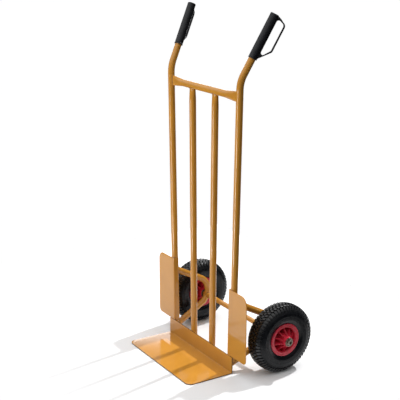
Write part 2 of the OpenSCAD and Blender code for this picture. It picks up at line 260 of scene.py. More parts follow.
def cage_nylon():
    """Cream nylon that light enters a little."""
    n = Nodes("cage_nylon", Specular_IOR_Level=0.45, Subsurface_Weight=0.08,
              Subsurface_Radius=(0.002, 0.002, 0.0015))
    colour = n.tones(n.noise(90, 3), (0.68, 0.65, 0.57), (0.78, 0.76, 0.68))
    return n.finish(colour, n.levels(n.noise(300, 2), 0.4, 0.55),
                    n.bump(n.noise(800, 2), 0.00004, 0.4))


PAINT = powder_coat("ochre_powder_coat", 1.0)
# The coat at a third of its brightness, as painted shade on the toe plate's cut edges.
EDGE_SHADE_COAT = powder_coat("painted_shade_sheet_edge", 0.3)
WELD = weld_coat()
GRIP = grip_plastic()
TYRE = tyre_rubber("tyre_flank_rubber", 0.22)
TREAD = tyre_rubber("tyre_tread_rubber", 0.6)
TUBE = tube_rubber()
RIM = rim_plastic()
ZINC = plated_steel("zinc_plated_steel", (0.34, 0.30, 0.24), 0.30)
BEARING = plated_steel("bearing_steel", (0.60, 0.61, 0.63), 0.18)
NYLON = cage_nylon()


# ---- mesh helpers

def show(thing):
    bpy.context.scene.collection.objects.link(thing)


def add_piece(name, verts, faces, material, slot, body="frame", replaces=(), sharp=32,
              extra=None):
    """A mesh piece riding on a body. extra is (second material, test of a face's centre)."""
    mesh = bpy.data.meshes.new(name)
    mesh.from_pydata([tuple(v) for v in verts], [], faces)
    mesh.materials.append(material)
    bm = bmesh.new()
    bm.from_mesh(mesh)
    bmesh.ops.recalc_face_normals(bm, faces=bm.faces)
    for face in bm.faces:
        face.smooth = True
        if extra and extra[1](face.calc_center_median()):
            face.material_index = 1
    bm.to_mesh(mesh)
    bm.free()
    if extra:
        mesh.materials.append(extra[0])
    mesh.set_sharp_from_angle(angle=radians(sharp))
    piece = bpy.data.objects.new(name, mesh)
    show(piece)
    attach(piece, body)
    if replaces:
        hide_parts(*replaces)
    return piece


def joined(shells):
    """Several closed shells as one mesh."""
    verts, faces = [], []
    for shell_verts, shell_faces in shells:
        base = len(verts)
        verts.extend(shell_verts)
        faces.extend([tuple(base + i for i in f) for f in shell_faces])
    return verts, faces


def turns(count, extra=0):
    """Angles that divide a full turn evenly. One extra comes back to the start."""
    return [2 * pi * k / count for k in range(count + extra)]


def quarter(steps):
    """Angles from 0 to a right angle."""
    return [pi / 2 * k / steps for k in range(steps + 1)]


def arc(cx, cy, r, start, end, steps):
    """Points of an arc in a plane, angles in degrees."""
    angles = [radians(start + (end - start) * i / steps) for i in range(steps + 1)]
    return [(cx + r * cos(t), cy + r * sin(t)) for t in angles]


def loft(rings, closed=False):
    """Faces between rings of equal length, with flat ends unless it closes on itself."""
    count, sides = len(rings), len(rings[0])
    verts = [p for ring in rings for p in ring]
    faces = []
    for i in range(count if closed else count - 1):
        j = (i + 1) % count
        for k in range(sides):
            m = (k + 1) % sides
            faces.append((i * sides + k, i * sides + m, j * sides + m, j * sides + k))
    if not closed:
        faces.append(tuple(range(sides - 1, -1, -1)))
        faces.append(tuple((count - 1) * sides + k for k in range(sides)))
    return verts, faces


def path_frames(points, first_normal, closed=False):
    """Normal and binormal at each point of a path, carried along without twist."""
    points = [Vector(p) for p in points]
    count = len(points)
    result = []
    normal = Vector(first_normal)
    for i in range(count):
        ahead = points[(i + 1) % count] if closed else points[min(i + 1, count - 1)]
        behind = points[i - 1] if closed else points[max(i - 1, 0)]
        tangent = (ahead - behind).normalized()
        normal = (normal - tangent * normal.dot(tangent)).normalized()
        result.append((normal, tangent.cross(normal)))
    return result


def ring(centre, r, normal, binormal, sides):
    """A circle of points about a path's point."""
    return [Vector(centre) + r * (normal * cos(a) + binormal * sin(a))
            for a in turns(sides)]


def sweep(points, radius, first_normal, sides, closed=False):
    """A round bar along a path. radius is a number or one number for each point."""
    radii = radius if hasattr(radius, "__len__") else [radius] * len(points)
    frames = path_frames(points, first_normal, closed)
    return loft([ring(p, r, *axes, sides) for p, r, axes in zip(points, radii, frames)], closed)


def pipe(points, radius, wall, first_normal):
    """A tube with a true wall: the outer skin out, the inner skin back."""
    skin = list(zip(points, path_frames(points, first_normal)))
    return loft([ring(p, radius, *axes, 48) for p, axes in skin]
                + [ring(p, radius - wall, *axes, 48) for p, axes in reversed(skin)],
                closed=True)


def lathe(profile, segments, closed=True, radius_at=lambda r, z, a: r):
    """Turns (radius, height) points about local Z. A closed profile is an outline.

    radius_at changes a radius by its height and its angle.
    """
    rings = []
    for r, z in profile:
        radii = [(a, radius_at(r, z, a)) for a in turns(segments)]
        rings.append([Vector((at * cos(a), at * sin(a), z)) for a, at in radii])
    return loft(rings, closed)


def rounded(outline, radii):
    """A closed outline with its corners rounded; radii holds one radius for each corner."""
    steps = 4
    result = []
    count = len(outline)
    for i, (corner, radius) in enumerate(zip(outline, radii)):
        here = Vector(corner)
        before = Vector(outline[i - 1]) - here
        after = Vector(outline[(i + 1) % count]) - here
        if radius <= 0:
            result.append(tuple(here))
            continue
        half = before.angle(after) / 2
        reach = min(radius / tan(half), before.length * 0.49, after.length * 0.49)
        a, b = here + before.normalized() * reach, here + after.normalized() * reach
        for k in range(steps + 1):
            t = k / steps
            result.append(tuple((1 - t) ** 2 * a + 2 * t * (1 - t) * here + t * t * b))
    return result


def in_metres(points):
    return [tuple(v * MM for v in p) for p in points]


def moved(matrix, verts):
    return [matrix @ Vector(v) for v in verts]


def on_wheel(side):
    """Local Z is the axle's line, outward, from the middle of the tyre."""
    return (Matrix.Translation((side * WHEEL_X, AXLE_Y, AXLE_Z))
            @ Matrix.Rotation(side * pi / 2, 4, "Y"))


def on_upright(side):
    """Local Z runs up an upright's centre line from the floor."""
    return (Matrix.Translation((side * FOOT_X, FRAME_Y, 0))
            @ Matrix.Rotation(side * FRAME_LEAN, 4, "Y"))


def on_handle(side):
    """Local Z runs up the handle from the knee."""
    return (on_upright(side) @ Matrix.Translation((0, 0, KNEE_Z))
            @ Matrix.Rotation(-side * HANDLE_SPLAY, 4, "Z")
            @ Matrix.Rotation(-HANDLE_LEAN, 4, "X"))


def on_hoop(side):
    """Local Y and Z are a hoop's plane, with the upright's centre line at y = 0."""
    return on_upright(side) @ Matrix.Rotation(-side * HOOP_SPLAY, 4, "Z")


def upright_x(z):
    """Distance from the truck's middle to an upright's centre line at a height."""
    return FOOT_X + z * tan(FRAME_LEAN)


def bar_x(z):
    """The same for a load bar."""
    return BAR_FOOT_X + z * tan(BAR_LEAN)


# ---- frame tubes

def upright_path(side):
    """Centre line of an upright: straight, bent back at the knee, and on into the grip."""
    setback = HANDLE_BEND_R * tan(HANDLE_LEAN / 2)  # from the bend's start to the knee
    foot = hoop_path()[-1][1] + TUBE_R * tan(HOOP_LOWER_SLOPE)
    turned = (on_upright(side) @ Matrix.Translation((0, 0, KNEE_Z - setback))
              @ Matrix.Rotation(-side * HANDLE_SPLAY, 4, "Z"))
    points = [on_upright(side) @ Vector((0, 0, foot + (KNEE_Z - setback - foot) * t))
              for t in (0, 0.1, 0.3, 0.5, 0.7, 0.9, 0.995)]
    for k in range(19):
        a = HANDLE_LEAN * k / 18
        points.append(turned @ Vector((0, HANDLE_BEND_R * (1 - cos(a)),
                                       HANDLE_BEND_R * sin(a))))
    for along in (setback + 1 * MM, GRIP_START, GRIP_START + GRIP_LEN - 5 * MM):
        points.append(on_handle(side) @ Vector((0, 0, along)))
    return points


def crossbar_section(x):
    """Half height, half depth and superellipse power of the crossbar at a distance x."""
    share = max(0.0, min(1.0, (x - (TOP_X - TUBE_R - SQUASH_LEN)) / SQUASH_LEN))
    flare = share ** 0.9
    squash = share * share * (1.9 - 0.9 * share)
    return (TUBE_R + (BLADE_HALF_H - TUBE_R) * flare,
            TUBE_R + (BLADE_HALF_T - TUBE_R) * squash, 2 + 1.2 * squash)


def superellipse(a, b, power):
    """Points of a closed curve between an ellipse and a rounded rectangle."""
    points = []
    for t in turns(48):
        c, s = cos(t), sin(t)
        points.append((a * copysign(abs(c) ** (2 / power), c),
                       b * copysign(abs(s) ** (2 / power), s)))
    return points


def build_crossbar():
    """A tube whose ends are squashed flat and run a little way into the uprights."""
    reach = TOP_X - TUBE_R + 1.4 * MM
    inner = [0, 0.05, 0.10, TOP_X - TUBE_R - SQUASH_LEN]
    half = inner + [inner[-1] + (reach - inner[-1]) * (k / 14) for k in range(1, 15)]
    rings = []
    for x in [-v for v in reversed(half[1:])] + half:
        a, b, power = crossbar_section(abs(x))
        rings.append([Vector((x, FRAME_Y + q, CROSSBAR_Z + p))
                      for p, q in superellipse(a, b, power)])
    add_piece("crossbar", *loft(rings), PAINT, "frame_paint", replaces=["top_crossbar"])


def load_bar_section(z):
    """Half width and half depth of a load bar at a height."""
    blend = max(0.0, min(1.0, (z - (CROSSBAR_Z - TUBE_R - BAR_SQUASH)) / BAR_SQUASH))
    blend = blend * blend * (3 - 2 * blend)
    return (TUBE_R + (BAR_TOP_HALF_W - TUBE_R) * blend,
            TUBE_R + (BAR_TOP_HALF_D - TUBE_R) * blend)


def build_load_bar(name, side):
    """A tube from behind the lip up into the crossbar."""
    start = CROSSBAR_Z - TUBE_R - BAR_SQUASH
    heights = [BAR_FOOT_Z, 0.2, 0.5, 0.8] + [start + (CROSSBAR_Z - start) * k / 14
                                         for k in range(15)]
    rings = []
    for wall, order in ((0, heights), (TUBE_WALL, list(reversed(heights)))):
        for z in order:
            a, b = load_bar_section(z)
            rings.append([Vector((side * bar_x(z) + (a - wall) * cos(t),
                                  FRAME_Y + (b - wall) * sin(t), z))
                          for t in turns(48)])
    add_piece(name + "_bar", *loft(rings, closed=True), PAINT, "frame_paint",
              replaces=[name + "_load_bar"])


def hoop_path():
    """A hoop's centre line in its plane: from the upright round to the toe plate's lip."""
    upper, lower = pi / 2 - HOOP_UPPER_SLOPE, HOOP_LOWER_SLOPE - pi / 2
    bend = [(HOOP_BACK + HOOP_R * cos(a), HOOP_Z + HOOP_R * sin(a))
            for a in (upper + (lower - upper) * k / 36 for k in range(37))]
    top, bottom = bend[0], bend[-1]
    first = (0, top[1] + top[0] * tan(HOOP_UPPER_SLOPE))
    last = (-TUBE_R, bottom[1] - (bottom[0] + TUBE_R) * tan(HOOP_LOWER_SLOPE))
    return [first] + bend + [last]


def hoop_bar(side):
    """A hoop's bar, its lower end cut flat against the back of the toe plate's lip."""
    sides = 48
    path = [on_hoop(side) @ Vector((0, y, z)) for y, z in hoop_path()]
    verts, faces = sweep(path, TUBE_R, (1, 0, 0), sides)
    along = (path[-1] - path[-2]).normalized()
    lip_back = FRAME_Y - TUBE_R
    verts[-sides:] = [v + along * ((lip_back - v.y) / along.y) for v in verts[-sides:]]
    return verts, faces


def build_frame_tubes():
    """The uprights, load bars and hoops, and the crossbar."""
    for name, side in SIDES.items():
        add_piece(name + "_side_tube", *pipe(upright_path(side), TUBE_R, TUBE_WALL, (1, 0, 0)),
                  PAINT, "frame_paint", replaces=[name + "_upright"])
        build_load_bar(name, side)
        add_piece(name + "_hoop", *hoop_bar(side), PAINT, "frame_paint",
                  replaces=[name + "_axle_hoop"])
    build_crossbar()


def build_axle():
    """The axle, painted where it crosses the frame and bare where the wheels turn on it."""
    chamfer = 1.2 * MM
    bare = WHEEL_X - HUB_IN - 3 * MM
    drill_r, drill_depth = 5.5 * MM, 9 * MM
    half = [(AXLE_R, bare), (AXLE_R, AXLE_HALF - chamfer), (AXLE_R - chamfer, AXLE_HALF),
            (drill_r, AXLE_HALF), (drill_r, AXLE_HALF - drill_depth),
            (0.0001 * MM, AXLE_HALF - drill_depth)]
    profile = [(r, -z) for r, z in reversed(half)] + [(AXLE_R, 0)] + half
    verts, faces = lathe(profile, 64, closed=False)
    turned = (Matrix.Translation((0, AXLE_Y, AXLE_Z)) @ Matrix.Rotation(pi / 2, 4, "Y"))
    add_piece("axle_bar", moved(turned, verts), faces, PAINT, "frame_paint",
              replaces=["axle"], extra=(ZINC, lambda c: abs(c.x) > bare))


# ---- sheet parts

def grid_faces(rows, columns):
    return [tuple(i * columns + j + step for step in (0, 1, columns + 1, columns))
            for i in range(rows - 1) for j in range(columns - 1)]


def sheet_grid(rows, columns, point):
    """A grid of points as one open surface; point(i, j) gives each of them."""
    verts = [point(i, j) for i in range(rows) for j in range(columns)]
    return verts, grid_faces(rows, columns)


def thicken(piece, thickness, edge, rim=None):
    """Gives a sheet its thickness and rounds its edges. rim is a material for the edges."""
    solid = piece.modifiers.new("thickness", "SOLIDIFY")
    if rim:
        piece.data.materials.append(rim)
        solid.material_offset_rim = 1
    solid.thickness = thickness
    solid.offset = 0
    solid.use_even_offset = True
    bevel = piece.modifiers.new("bevel", "BEVEL")
    bevel.width = edge
    bevel.segments = 3
    bevel.limit_method = "ANGLE"
    bevel.angle_limit = radians(50)


def build_toe_plate():
    """One sheet with round front corners, folded up into a lip at the back."""
    mid = TOE_T / 2
    bend = FOLD_R + mid
    lip_y = -TUBE_R - mid
    side_view = [(-TOE_REACH + TOE_CORNER_R * (1 - cos(a)), mid) for a in quarter(12)]
    side_view += [(y, mid) for y in (-0.16, -0.12, -0.08, -0.04)]
    side_view += [(lip_y - bend + bend * sin(a), mid + bend * (1 - cos(a)))
                  for a in quarter(8)]
    side_view += [(lip_y, z) for z in (0.02, 0.035, 0.05, 0.06, LIP_H)]
    columns = 29

    def half_width(y, z):
        into = y + TOE_REACH
        if z < TOE_T and into < TOE_CORNER_R:
            return TOE_W / 2 - TOE_CORNER_R + sqrt(
                max(0.0, TOE_CORNER_R ** 2 - (TOE_CORNER_R - into) ** 2))
        return TOE_W / 2

    def point(i, j):
        y, z = side_view[i]
        return Vector((half_width(y, z) * (2 * j / (columns - 1) - 1), FRAME_Y + y, z))

    verts, faces = sheet_grid(len(side_view), columns, point)
    plate = add_piece("toe_sheet", verts, faces, PAINT, "frame_paint", replaces=["toe_plate"])
    # The sheet's cut edges take the darker coat: painted shade along its rim.
    thicken(plate, TOE_T, 0.7 * MM, EDGE_SHADE_COAT)


def build_wheel_guard(name, side):
    """A sheet in front of the wheel with round outer corners, folded back on the upright."""
    mid = GUARD_SHEET / 2
    inner_x = FOOT_X - TUBE_R - mid
    face_y = -TUBE_R - mid
    bend = 2.2 * MM
    corner, small_corner = GUARD_CORNER_R, GUARD_CORNER_R / 2  # at the top and the bottom
    flat_end = GUARD_OUT - corner
    start_x = inner_x + bend
    face_steps = 10
    plan = [(inner_x, y) for y in (GUARD_FOLD_DEPTH, 3 * MM, -2 * MM, -7 * MM)]
    plan += [(inner_x + bend * (1 - cos(a)), face_y + bend - bend * sin(a))
             for a in quarter(6)]
    plan += [(start_x + (flat_end - start_x) * k / face_steps, face_y)
             for k in range(1, face_steps + 1)]
    plan += [(flat_end + corner * sin(a), face_y) for a in quarter(12)[1:]]
    rows = 17

    def limits(x, y):
        """The sheet's lower and upper edge at a point of the plan."""
        low, top = GUARD_LOW, GUARD_TOP
        if y == face_y and x > flat_end:
            top -= corner - sqrt(max(0, corner ** 2 - (x - flat_end) ** 2))
        across = x - (GUARD_OUT - small_corner)
        if y == face_y and across > 0:
            low += small_corner - sqrt(max(0, small_corner ** 2 - across ** 2))
        return low, top

    def point(i, j):
        x, y = plan[j]
        low, top = limits(x, y)
        z = low + (top - low) * i / (rows - 1)
        lean = z * tan(FRAME_LEAN) * (GUARD_OUT - x) / (GUARD_OUT - inner_x)
        return Vector((side * (x + lean), FRAME_Y + y, z))

    verts, faces = sheet_grid(rows, len(plan), point)
    guard = add_piece(name + "_guard_sheet", verts, faces, PAINT, "frame_paint",
                      replaces=[name + "_wheel_guard"])
    thicken(guard, GUARD_SHEET, 0.5 * MM)


# ---- welds

RIPPLE_LEN = 2.6 * MM


def bead(shells, points, radius, closed, first_normal=(0.3, 0.2, 1)):
    """A weld bead along points: a rippled cord, thin at its ends if it is open."""
    lengths = [0.0]
    for a, b in zip(points, points[1:]):
        lengths.append(lengths[-1] + (Vector(b) - Vector(a)).length)
    total = lengths[-1]
    count = max(12, int(total / (0.75 * MM)))
    resampled, radii = [], []
    for k in range(count if closed else count + 1):
        at = total * k / count
        i = max(j for j in range(len(points) - 1) if lengths[j] <= at + 1e-12)
        t = (at - lengths[i]) / max(1e-9, lengths[i + 1] - lengths[i])
        resampled.append(Vector(points[i]).lerp(Vector(points[i + 1]), t))
        ripple = 1 + 0.13 * sin(2 * pi * at / RIPPLE_LEN) + random.uniform(-0.07, 0.07)
        end = 1.0 if closed else min(1.0, (min(at, total - at) + 0.4 * MM) / (2.5 * MM))
        radii.append(radius * ripple * end)
    shells.append(sweep(resampled, radii, first_normal, 10, closed))


def bar_top_seam(side):
    """Where a load bar meets the underside of the crossbar."""
    points = []
    for t in turns(60, 1):
        back = BAR_TOP_HALF_D * sin(t)
        drop = sqrt(max(0.0, TUBE_R ** 2 - back ** 2))
        points.append((side * BAR_TOP_X + BAR_TOP_HALF_W * cos(t), FRAME_Y + back,
                       CROSSBAR_Z - drop))
    return points


def blade_seam(side):
    """Where the crossbar's squashed end meets an upright."""
    points = []
    for p, q in superellipse(BLADE_HALF_H, BLADE_HALF_T + 0.6 * MM, 3.2):
        back = sqrt(TUBE_R ** 2 - q ** 2)
        points.append((side * (upright_x(CROSSBAR_Z + p) - back), FRAME_Y + q, CROSSBAR_Z + p))
    return points + points[:1]


def leg_foot(start, slope):
    """Where a hoop's leg runs into its upright. slope is the leg's rise per distance back."""
    direction = Vector((0, 1, slope)).normalized()
    across = Vector((1, 0, 0))
    up = across.cross(direction)
    points = []
    for t in turns(60, 1):
        off = TUBE_R * (across * cos(t) + up * sin(t))
        back = sqrt(max(0.0, TUBE_R ** 2 - off.x ** 2))
        points.append(Vector((0, 0, start)) + off + direction * ((back - off.y) / direction.y))
    return points


def upright_foot(foot, slope):
    """Where an upright stands on a hoop's lower leg, which is as thick as the upright."""
    points = []
    for t in turns(60, 1):
        rise = TUBE_R * (sin(t) * slope + abs(sin(t)) * hypot(1, slope))
        points.append(Vector((TUBE_R * cos(t), TUBE_R * sin(t), foot + rise)))
    return points


def axle_seam(side, face):
    """Where the axle leaves a hoop's bend, on its inner (-1) or outer (1) face."""
    cross_x = (on_hoop(side) @ Vector((0, (AXLE_Y - FRAME_Y) / cos(HOOP_SPLAY), AXLE_Z))).x
    points = []
    for t in turns(48, 1):
        dy, dz = AXLE_R * cos(t), AXLE_R * sin(t)
        back = (AXLE_Y - FRAME_Y + dy) / cos(HOOP_SPLAY)
        off = hypot(back - HOOP_BACK, AXLE_Z + dz - HOOP_Z) - HOOP_R
        out = sqrt(TUBE_R ** 2 - off ** 2)
        points.append((cross_x + face * out + side * dy * tan(HOOP_SPLAY),
                       AXLE_Y + dy, AXLE_Z + dz))
    return points


def weld_lip(shells, x, half, low):
    """Beads that hold the lip to one tube: over its top, and down behind it on both sides."""
    top = [(x + half * t, FRAME_Y - TUBE_R * sqrt(1 - (0.6 * t) ** 2) - 0.4 * MM,
            LIP_H + 0.2 * MM) for t in (-1, -0.5, 0, 0.5, 1)]
    bead(shells, top, 1.9 * MM, False)
    high = LIP_H - 3 * MM
    for edge in (-1, 1):
        seam = [(x + edge * 5.5 * MM, FRAME_Y - TUBE_R + 0.8 * MM, low + (high - low) * t)
                for t in (0, 0.35, 0.7, 1)]
        bead(shells, seam, 1.6 * MM, False, (1, 0, 0))


def weld_guard(shells, side):
    """Beads that hold a wheel guard to its upright: one at the top, three along the fold."""
    near_r = 0.98 * TUBE_R
    cap = [(side * (upright_x(GUARD_TOP) + near_r * sin(t)), FRAME_Y - near_r * cos(t),
            GUARD_TOP + 0.2 * MM) for t in map(radians, range(-95, 40, 12))]
    bead(shells, cap, 1.9 * MM, False)
    for low, high in ((0.10, 0.14), (0.18, 0.21), (0.26, 0.30)):
        seam = [(side * (upright_x(z) - TUBE_R + 0.9 * MM), FRAME_Y + 4.6 * MM, z)
                for z in (low + (high - low) * t for t in (0, 0.33, 0.67, 1))]
        bead(shells, seam, 1.5 * MM, False, (1, 0, 0))


def build_welds():
    """Every weld bead of the frame, as one piece."""
    shells = []
    upper, lower = hoop_path()[0], hoop_path()[-1]
    lower_slope = tan(HOOP_LOWER_SLOPE)
    hoop_seams = (leg_foot(upper[1], -tan(HOOP_UPPER_SLOPE)),
                  upright_foot(lower[1] + TUBE_R * lower_slope, lower_slope))
    for side in SIDES.values():
        bead(shells, bar_top_seam(side), 1.7 * MM, True)
        bead(shells, blade_seam(side), 2.1 * MM, True, (1, 0.2, 0.1))
        for seam in hoop_seams:
            bead(shells, moved(on_hoop(side), seam), 1.9 * MM, True, (0.2, 1, 0.3))
        for face in (-1, 1):
            bead(shells, axle_seam(side, face), 1.5 * MM, True, (1, 0.1, 0.1))
        weld_lip(shells, side * bar_x(LIP_H), 7 * MM, 10 * MM)
        weld_lip(shells, side * upright_x(LIP_H), 8 * MM, 52 * MM)
        weld_guard(shells, side)
    add_piece("weld_beads", *joined(shells), WELD, "frame_paint", sharp=60)


# ---- grips

def guard_curves():
    """Outline and window of the knuckle guard, in mm: (distance from the axis, height)."""
    d, h = 2 * GRIP_R / MM, GRIP_LEN / MM
    outline = ([(4, 3), (d / 2, 4), (d / 2 + 2, 9)]
               + arc(GUARD_REACH - 12, 52, 12, -42, 0, 8)
               + arc(GUARD_REACH - 16, h - 28, 16, 0, 55, 10)
               + arc(0, h - 62, 62, 54, 87, 12) + [(4, h - 6)])
    window = (arc(d / 2 + 8, 33, 7, 180, 300, 10)
              + arc(GUARD_REACH - GUARD_STRAND - 9, 53, 9, -42, 0, 8)
              + arc(GUARD_REACH - GUARD_STRAND - 13, h - 28, 13, 0, 50, 10)
              + arc(d / 2 + 9, h - 21, 8, 60, 180, 10))
    return outline, window


def guard_web():
    """The knuckle guard as a filled outline with rounded edges, in the grip's own place."""
    edge = 2.1 * MM
    curve = bpy.data.curves.new("guard_outline", "CURVE")
    curve.dimensions = "2D"
    curve.fill_mode = "BOTH"
    curve.extrude = GUARD_THICK / 2 - edge
    curve.bevel_depth = edge
    curve.bevel_resolution = 4
    curve.offset = -edge
    for points in guard_curves():
        spline = curve.splines.new("POLY")
        spline.points.add(len(points) - 1)
        for target, (x, y) in zip(spline.points, points):
            target.co = (x * MM, y * MM, 0, 1)
        spline.use_cyclic_u = True
    holder = bpy.data.objects.new("guard_outline", curve)
    show(holder)
    bpy.context.view_layer.update()
    mesh = bpy.data.meshes.new_from_object(
        holder.evaluated_get(bpy.context.evaluated_depsgraph_get()))
    bm = bmesh.new()
    bm.from_mesh(mesh)
    bmesh.ops.remove_doubles(bm, verts=bm.verts, dist=0.01 * MM)
    verts = [Vector((v.co.z, v.co.x, v.co.y)) for v in bm.verts]
    faces = [tuple(v.index for v in f.verts) for f in bm.faces]
    bm.free()
    bpy.data.objects.remove(holder)
    bpy.data.meshes.remove(mesh)
    bpy.data.curves.remove(curve)
    return verts, faces


def grip_sleeve():
    """The sleeve: helical flutes between a bead at the bottom and a closed round cap."""
    body_r, bead_r, neck_r = GRIP_R - 0.15 * MM, 16 * MM, 14.2 * MM
    bore = TUBE_R + 0.05 * MM
    flutes, flute_depth, turns_per_m = 28, 0.42 * MM, 2.6
    rows = [(bore, 0.0), (bead_r - 0.6 * MM, 0.0), (bead_r, 0.6 * MM), (bead_r, 3.2 * MM),
            (bead_r - 0.7 * MM, 3.9 * MM), (neck_r, 4.3 * MM), (neck_r, 5.4 * MM),
            (body_r, 6.0 * MM)]
    start, end = 7 * MM, GRIP_LEN - 7 * MM
    middle = [(body_r, start + (end - start) * k / 60) for k in range(61)]
    top = [(body_r, GRIP_LEN - 6 * MM), (GRIP_R, GRIP_LEN - 5.2 * MM),
           (GRIP_R, GRIP_LEN - 1.6 * MM), (GRIP_R - 0.5 * MM, GRIP_LEN - 0.5 * MM),
           (GRIP_R - 1.7 * MM, GRIP_LEN), (9 * MM, GRIP_LEN - 0.2 * MM),
           (0.01 * MM, GRIP_LEN - 0.2 * MM)]
    inside = [(0.01 * MM, GRIP_LEN - 4 * MM), (bore, GRIP_LEN - 4 * MM)]

    def fluted(r, z, a):
        if not start + 1 * MM < z < end - 1 * MM:
            return r
        wave = 0.5 - 0.5 * cos(flutes * (a + 2 * pi * turns_per_m * z))
        return r - flute_depth * wave ** 2

    return lathe(rows + middle + top + inside, 168, radius_at=fluted)


def build_grips():
    """Both grips, each a sleeve with its knuckle guard turned outward."""
    web = guard_web()
    sleeve = grip_sleeve()
    for name, side in SIDES.items():
        place = (on_handle(side) @ Matrix.Translation((0, 0, GRIP_START))
                 @ Matrix.Rotation(-side * GUARD_TWIST, 4, "Z"))
        add_piece(name + "_grip_sleeve", moved(place, sleeve[0]), sleeve[1], GRIP,
                  "grip_plastic", replaces=[name + "_grip"], sharp=50)
        add_piece(name + "_knuckle_guard", moved(place, web[0]), web[1], GRIP, "grip_plastic",
                  sharp=50)


# ---- wheels

def smooth_curve(points, step):
    """A Catmull-Rom curve through points, sampled evenly at about the step."""
    dense = []
    count = len(points)
    for i in range(count - 1):
        p0, p1 = points[max(i - 1, 0)], points[i]
        p2, p3 = points[i + 1], points[min(i + 2, count - 1)]
        for k in range(24):
            t = k / 24
            dense.append(tuple(
                0.5 * (2 * b + (c - a) * t + (2 * a - 5 * b + 4 * c - d) * t * t
                       + (3 * b - a - 3 * c + d) * t ** 3)
                for a, b, c, d in zip(p0, p1, p2, p3)))
    dense.append(points[-1])
    dense = np.array(dense)
    along = np.concatenate([[0], np.cumsum(np.linalg.norm(np.diff(dense, axis=0), axis=1))])
    samples = np.linspace(0, along[-1], int(along[-1] / step) + 1)
    return samples, np.stack([np.interp(samples, along, dense[:, i]) for i in range(2)], 1)


# Half of the casing's section in mm, from the middle of the tread to the bead: (radius, offset).
CASING = [(123.4, 0), (123.0, 9), (121.2, 18), (116.6, 26.0), (111.4, 32.0), (105.2, 36.8),
          (98, 39.6), (88, 40.7), (78, 39.6), (69.5, 36.4), (63.8, 32.6)]
CASING_ALONG, CASING_POINTS = smooth_curve(CASING, 0.5)
PITCHES = 56  # tread blocks round each row
TYRE_R = 130  # in mm
BLOCK_H = 6.4  # a tread block's height, in mm


def casing_at(along, height):
    """The point at a distance from the middle of the tread and a height above the casing."""
    def at(v):
        return [np.interp(v, CASING_ALONG, CASING_POINTS[:, i]) for i in (0, 1)]

    v = abs(along)
    (r, z), ahead, behind = at(v), at(v + 0.5), at(max(v - 0.5, 0))
    tangent = Vector((ahead[0] - behind[0], ahead[1] - behind[1])).normalized()
    return r + height * tangent.y, copysign(z - height * tangent.x, along)


def tread_block(shells, low, high, turn, width, slant, fall, rows):
    """One rubber block from low to high across the tread, at an angle round it, in mm.

    Its walls are drafted and its top is chamfered. slant is its shift round the tyre per
    distance across, and fall is how much lower its outer end is.
    """
    columns = 3
    middle = (low + high) / 2

    def layer(drop, grow, sunk=False):
        """Points at a drop below the block's top, or sunk a little into the casing."""
        points = []
        for i in range(rows):
            share = i / (rows - 1)
            v = low + (high - low) * share
            v += grow if share > 0.5 else (-grow if share < 0.5 else 0)
            for j in range(columns):
                across = (j / (columns - 1) - 0.5) * (width + 2 * grow) + slant * (v - middle)
                r, z = casing_at(v, -0.8 if sunk else BLOCK_H - fall * share - drop)
                a = turn + across / TYRE_R
                points.append(Vector((r * cos(a) * MM, r * sin(a) * MM, z * MM)))
        return points

    loop = ([(0, j) for j in range(columns)] + [(i, columns - 1) for i in range(1, rows)]
            + [(rows - 1, j) for j in range(columns - 2, -1, -1)]
            + [(i, 0) for i in range(rows - 2, 0, -1)])
    loop = [i * columns + j for i, j in loop]
    layers = [layer(0.0, 0.75, sunk=True), layer(0.5, 0.0), layer(0.0, -0.5)]
    verts = [p for points in layers for p in points]
    size = rows * columns
    faces = []
    for k in range(2):
        for a, b in zip(loop, loop[1:] + loop[:1]):
            faces.append((k * size + a, k * size + b, (k + 1) * size + b, (k + 1) * size + a))
    for quad in grid_faces(rows, columns):
        faces.append(tuple(2 * size + q for q in quad))
        faces.append(tuple(reversed(quad)))
    used = sorted({i for f in faces for i in f})
    index = {old: new for new, old in enumerate(used)}
    shells.append(([verts[i] for i in used], [tuple(index[i] for i in f) for f in faces]))


def tyre_shells():
    """The casing with its flank ridges, and three rows of tread blocks on each side."""
    ridges = ((46.5, 1.0, 0.55), (58.0, 1.2, 0.6), (72.0, 1.1, 0.6))  # place, width, height
    flank = []
    for along in np.arange(0, CASING_ALONG[-1], 1.0):
        lift = sum(h * exp(-((along - v) / w) ** 2) for v, w, h in ridges)
        flank.append(casing_at(along if along else 1e-6, lift))
    bead_side = [(62.4, 32.2), (62.25, 30.6), (61.4, 30.35), (54, 30.35), (51.6, 30.2),
                 (50.9, 29.2), (50.88, 20), (51.6, 18.4), (57.4, 18.2)]
    cavity = [(86 + 33.62 * cos(t), 33.62 * sin(t))
              for t in map(radians, range(146, -1, -8))]
    half = flank + bead_side + [p for p in cavity if p[1] > 0.5]
    profile = half + [(r, -z) for r, z in reversed(half)][:-1]
    shells = [lathe(in_metres(profile), 168)]
    step = 2 * pi / PITCHES
    for k in range(PITCHES):
        turn = k * step
        for sign in (-1, 1):
            place, next_place = (0.25, 0.58) if sign > 0 else (0.75, 1.08)
            for low, high, at, width, slant, fall, rows in (
                    (1.2, 9.0, place, 9.0, 0.40, 0.0, 3),
                    (11.4, 19.4, next_place, 8.6, -0.40, 0.2, 3),
                    (21.6, 39.0, place, 7.8, 0.10, 4.0, 7)):
                tread_block(shells, sign * low, sign * high, turn + at * step, width,
                            sign * slant, fall, rows)
    return joined(shells)


